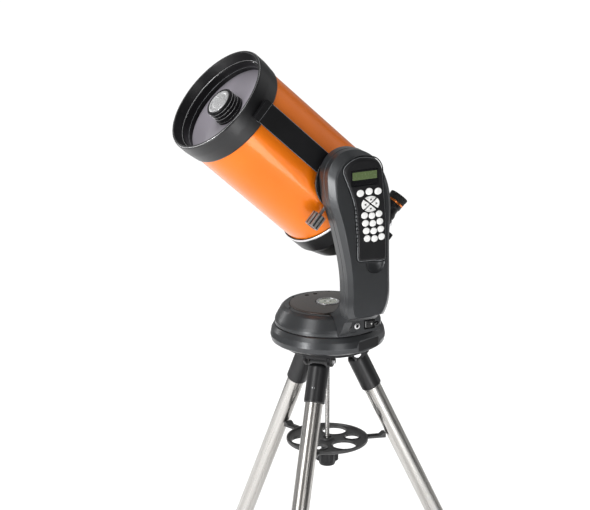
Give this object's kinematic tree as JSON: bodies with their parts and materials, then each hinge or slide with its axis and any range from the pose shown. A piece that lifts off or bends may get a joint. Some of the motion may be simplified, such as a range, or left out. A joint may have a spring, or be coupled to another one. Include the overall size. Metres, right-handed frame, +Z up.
{
  "type": "schmidt cassegrain telescope",
  "caption": "Short closed telescope tube on a motorised single fork arm with a docked keypad, standing on a steel tripod with a round tray.",
  "frame": {"origin": "centre of the bounding box at the level of the feet", "axes": "+Z up; +X from the tube towards the fork arm, along the altitude axis; the tube points to -Y and up"},
  "size_m": [0.6302, 0.696, 1.2834],
  "materials": {
    "orange_paint": "gloss",
    "charcoal_paint": "satin",
    "black_paint": "satin",
    "black_plastic": "satin",
    "polished_steel": "polished",
    "silver_metal": "satin",
    "lens_glass": "gloss",
    "mirror_coat": "polished",
    "white_key": "satin",
    "display": "gloss",
    "brown_lid": "satin",
    "tray_plastic": "satin"
  },
  "bodies": {
    "base": {"lower_base": "charcoal_paint", "tripod_head": "black_paint", "centre_rod": "polished_steel"},
    "turntable": {"turntable_housing": "charcoal_paint", "fork_arm": "charcoal_paint", "fork_arm_cover": "charcoal_paint"},
    "altitude": {"dovetail_clamp": "black_paint"},
    "tube": {"optical_tube": "orange_paint", "front_cell": "black_paint", "corrector_plate": "lens_glass", "corrector_retainer": "black_paint", "secondary_housing": "black_plastic", "secondary_mirror": "mirror_coat", "baffle_tube": "black_paint", "rear_cell": "black_paint", "dovetail_bar": "black_paint", "visual_back": "black_paint"},
    "mirror": {"primary_mirror": "mirror_coat"},
    "focus": {"focus_knob": "black_plastic"},
    "diagonal": {"star_diagonal": "black_plastic"},
    "eyepiece": {"eyepiece": "black_plastic"},
    "clamp_screw": {"clamp_knob": "silver_metal"},
    "lid": {"battery_cover": "brown_lid", "level_vial": "silver_metal"},
    "switch": {"power_switch": "black_plastic"},
    "handset": {"handset_case": "black_plastic", "handset_display": "display"},
    "tray": {"accessory_tray": "tray_plastic"},
    "tray_screw": {"tray_knob": "black_plastic"},
    "leg_1": {"leg_collar_1": "black_plastic", "leg_tube_1": "polished_steel"},
    "leg_ext_1": {"leg_extension_1": "polished_steel"},
    "leg_lock_1": {"leg_lock_knob_1": "black_plastic"},
    "leg_2": {"leg_collar_2": "black_plastic", "leg_tube_2": "polished_steel"},
    "leg_ext_2": {"leg_extension_2": "polished_steel"},
    "leg_lock_2": {"leg_lock_knob_2": "black_plastic"},
    "leg_3": {"leg_collar_3": "black_plastic", "leg_tube_3": "polished_steel"},
    "leg_ext_3": {"leg_extension_3": "polished_steel"},
    "leg_lock_3": {"leg_lock_knob_3": "black_plastic"},
    "key_top_1": {"key_top_1": "white_key"},
    "key_top_2": {"key_top_2": "white_key"},
    "key_top_3": {"key_top_3": "white_key"},
    "key_pad_1": {"key_pad_1": "white_key"},
    "key_pad_2": {"key_pad_2": "white_key"},
    "key_pad_3": {"key_pad_3": "white_key"},
    "key_pad_4": {"key_pad_4": "white_key"},
    "key_pad_5": {"key_pad_5": "white_key"},
    "key_pad_6": {"key_pad_6": "white_key"},
    "key_pad_7": {"key_pad_7": "white_key"},
    "key_pad_8": {"key_pad_8": "white_key"},
    "key_pad_9": {"key_pad_9": "white_key"},
    "key_pad_10": {"key_pad_10": "white_key"},
    "key_pad_11": {"key_pad_11": "white_key"},
    "key_pad_12": {"key_pad_12": "white_key"},
    "arrow_right": {"arrow_right": "white_key"},
    "arrow_up": {"arrow_up": "white_key"},
    "arrow_left": {"arrow_left": "white_key"},
    "arrow_down": {"arrow_down": "white_key"}
  },
  "joints": [
    {"name": "azimuth", "type": "hinge", "parent": "base", "child": "turntable", "pos_m": [0.04719, -0.01304, 0.69458], "axis": [0, 0, 1], "continuous": true},
    {"name": "altitude", "type": "hinge", "parent": "turntable", "child": "altitude", "pos_m": [0.04719, -0.05304, 1.03358], "axis": [1, 0, 0], "range_deg": [-48, 52]},
    {"name": "tube_slide", "type": "slide", "parent": "altitude", "child": "tube", "axis": [0, -0.7431, 0.6691], "range_m": [0, 0.035]},
    {"name": "leg_spread", "type": "hinge", "parent": "base", "child": "leg_1", "pos_m": [0.08714, -0.05356, 0.62858], "axis": [0.712, 0.7022, 0], "range_deg": [0, 2.5]},
    {"name": "leg_spread_2", "type": "hinge", "parent": "base", "child": "leg_2", "pos_m": [0.0623, 0.04181, 0.62858], "axis": [-0.9641, 0.2656, 0], "range_deg": [0, 2.5]},
    {"name": "leg_spread_3", "type": "hinge", "parent": "base", "child": "leg_3", "pos_m": [-0.00787, -0.02738, 0.62858], "axis": [0.2521, -0.9677, 0], "range_deg": [0, 2.5]},
    {"name": "tray_slide", "type": "slide", "parent": "base", "child": "tray", "axis": [0, 0, -1], "range_m": [0, 0.025]},
    {"name": "leg_extend_1", "type": "slide", "parent": "leg_1", "child": "leg_ext_1", "axis": [0.3034, -0.3077, -0.9018], "range_m": [-0.06, 0.35]},
    {"name": "leg_extend_2", "type": "slide", "parent": "leg_2", "child": "leg_ext_2", "axis": [0.1147, 0.4166, -0.9018], "range_m": [-0.06, 0.35]},
    {"name": "leg_extend_3", "type": "slide", "parent": "leg_3", "child": "leg_ext_3", "axis": [-0.4181, -0.1089, -0.9018], "range_m": [-0.06, 0.35]},
    {"name": "battery_cover_lift", "type": "slide", "parent": "turntable", "child": "lid", "axis": [0, 0, 1], "range_m": [0, 0.03]},
    {"name": "handset_pull", "type": "slide", "parent": "turntable", "child": "handset", "axis": [1, 0, 0], "range_m": [0, 0.03]},
    {"name": "diagonal_turn", "type": "hinge", "parent": "tube", "child": "diagonal", "pos_m": [0.04719, 0.04237, 0.91537], "axis": [0, -0.7431, 0.6691], "range_deg": [-90, 90]},
    {"name": "eyepiece_draw", "type": "slide", "parent": "diagonal", "child": "eyepiece", "axis": [0, 0.6691, 0.7431], "range_m": [0, 0.03]},
    {"name": "mirror_focus", "type": "slide", "parent": "tube", "child": "mirror", "axis": [0, -0.7431, 0.6691], "range_m": [-0.003, 0.003]},
    {"name": "focus_turn", "type": "hinge", "parent": "tube", "child": "focus", "pos_m": [0.00319, 0.02675, 0.87561], "axis": [0, -0.7431, 0.6691], "range_deg": [-1450, 1450]},
    {"name": "clamp_screw_turn", "type": "hinge", "parent": "altitude", "child": "clamp_screw", "pos_m": [0.16719, -0.10836, 0.95421], "axis": [0, 0.6691, 0.7431], "range_deg": [-180, 180]},
    {"name": "tray_screw_turn", "type": "hinge", "parent": "tray", "child": "tray_screw", "pos_m": [0.04719, -0.01304, 0.39458], "axis": [0, 0, 1], "continuous": true},
    {"name": "leg_lock_turn_1", "type": "hinge", "parent": "leg_1", "child": "leg_lock_1", "pos_m": [0.24461, -0.21324, 0.08181], "axis": [-0.6332, 0.6421, -0.4321], "range_deg": [-180, 180]},
    {"name": "leg_lock_turn_2", "type": "hinge", "parent": "leg_2", "child": "leg_lock_2", "pos_m": [0.12185, 0.25803, 0.08181], "axis": [-0.2395, -0.8695, -0.4321], "range_deg": [-180, 180]},
    {"name": "leg_lock_turn_3", "type": "hinge", "parent": "leg_3", "child": "leg_lock_3", "pos_m": [-0.2249, -0.08392, 0.08181], "axis": [0.8727, 0.2273, -0.4321], "range_deg": [-180, 180]},
    {"name": "power_switch_rock", "type": "hinge", "parent": "turntable", "child": "switch", "pos_m": [0.15319, 0.02396, 0.71458], "axis": [0, 0, 1], "range_deg": [-5, 5]},
    {"name": "key_top_1_press", "type": "slide", "parent": "handset", "child": "key_top_1", "axis": [-1, 0, 0], "range_m": [0, 0.0012], "stiffness_N_per_m": 400, "springref_m": -0.001},
    {"name": "key_top_2_press", "type": "slide", "parent": "handset", "child": "key_top_2", "axis": [-1, 0, 0], "range_m": [0, 0.0012], "stiffness_N_per_m": 400, "springref_m": -0.001},
    {"name": "key_top_3_press", "type": "slide", "parent": "handset", "child": "key_top_3", "axis": [-1, 0, 0], "range_m": [0, 0.0012], "stiffness_N_per_m": 400, "springref_m": -0.001},
    {"name": "key_pad_1_press", "type": "slide", "parent": "handset", "child": "key_pad_1", "axis": [-1, 0, 0], "range_m": [0, 0.0012], "stiffness_N_per_m": 400, "springref_m": -0.001},
    {"name": "key_pad_2_press", "type": "slide", "parent": "handset", "child": "key_pad_2", "axis": [-1, 0, 0], "range_m": [0, 0.0012], "stiffness_N_per_m": 400, "springref_m": -0.001},
    {"name": "key_pad_3_press", "type": "slide", "parent": "handset", "child": "key_pad_3", "axis": [-1, 0, 0], "range_m": [0, 0.0012], "stiffness_N_per_m": 400, "springref_m": -0.001},
    {"name": "key_pad_4_press", "type": "slide", "parent": "handset", "child": "key_pad_4", "axis": [-1, 0, 0], "range_m": [0, 0.0012], "stiffness_N_per_m": 400, "springref_m": -0.001},
    {"name": "key_pad_5_press", "type": "slide", "parent": "handset", "child": "key_pad_5", "axis": [-1, 0, 0], "range_m": [0, 0.0012], "stiffness_N_per_m": 400, "springref_m": -0.001},
    {"name": "key_pad_6_press", "type": "slide", "parent": "handset", "child": "key_pad_6", "axis": [-1, 0, 0], "range_m": [0, 0.0012], "stiffness_N_per_m": 400, "springref_m": -0.001},
    {"name": "key_pad_7_press", "type": "slide", "parent": "handset", "child": "key_pad_7", "axis": [-1, 0, 0], "range_m": [0, 0.0012], "stiffness_N_per_m": 400, "springref_m": -0.001},
    {"name": "key_pad_8_press", "type": "slide", "parent": "handset", "child": "key_pad_8", "axis": [-1, 0, 0], "range_m": [0, 0.0012], "stiffness_N_per_m": 400, "springref_m": -0.001},
    {"name": "key_pad_9_press", "type": "slide", "parent": "handset", "child": "key_pad_9", "axis": [-1, 0, 0], "range_m": [0, 0.0012], "stiffness_N_per_m": 400, "springref_m": -0.001},
    {"name": "key_pad_10_press", "type": "slide", "parent": "handset", "child": "key_pad_10", "axis": [-1, 0, 0], "range_m": [0, 0.0012], "stiffness_N_per_m": 400, "springref_m": -0.001},
    {"name": "key_pad_11_press", "type": "slide", "parent": "handset", "child": "key_pad_11", "axis": [-1, 0, 0], "range_m": [0, 0.0012], "stiffness_N_per_m": 400, "springref_m": -0.001},
    {"name": "key_pad_12_press", "type": "slide", "parent": "handset", "child": "key_pad_12", "axis": [-1, 0, 0], "range_m": [0, 0.0012], "stiffness_N_per_m": 400, "springref_m": -0.001},
    {"name": "arrow_right_press", "type": "slide", "parent": "handset", "child": "arrow_right", "axis": [-1, 0, 0], "range_m": [0, 0.0012], "stiffness_N_per_m": 400, "springref_m": -0.001},
    {"name": "arrow_up_press", "type": "slide", "parent": "handset", "child": "arrow_up", "axis": [-1, 0, 0], "range_m": [0, 0.0012], "stiffness_N_per_m": 400, "springref_m": -0.001},
    {"name": "arrow_left_press", "type": "slide", "parent": "handset", "child": "arrow_left", "axis": [-1, 0, 0], "range_m": [0, 0.0012], "stiffness_N_per_m": 400, "springref_m": -0.001},
    {"name": "arrow_down_press", "type": "slide", "parent": "handset", "child": "arrow_down", "axis": [-1, 0, 0], "range_m": [0, 0.0012], "stiffness_N_per_m": 400, "springref_m": -0.001}
  ],
  "couplings": [
    {"joint": "leg_spread_2", "follows": "leg_spread", "ratio": 1},
    {"joint": "leg_spread_3", "follows": "leg_spread", "ratio": 1},
    {"joint": "tray_slide", "follows": "leg_spread", "m_per_rad": 0.56},
    {"joint": "focus_turn", "follows": "mirror_focus", "rad_per_m": 8377.6}
  ]
}
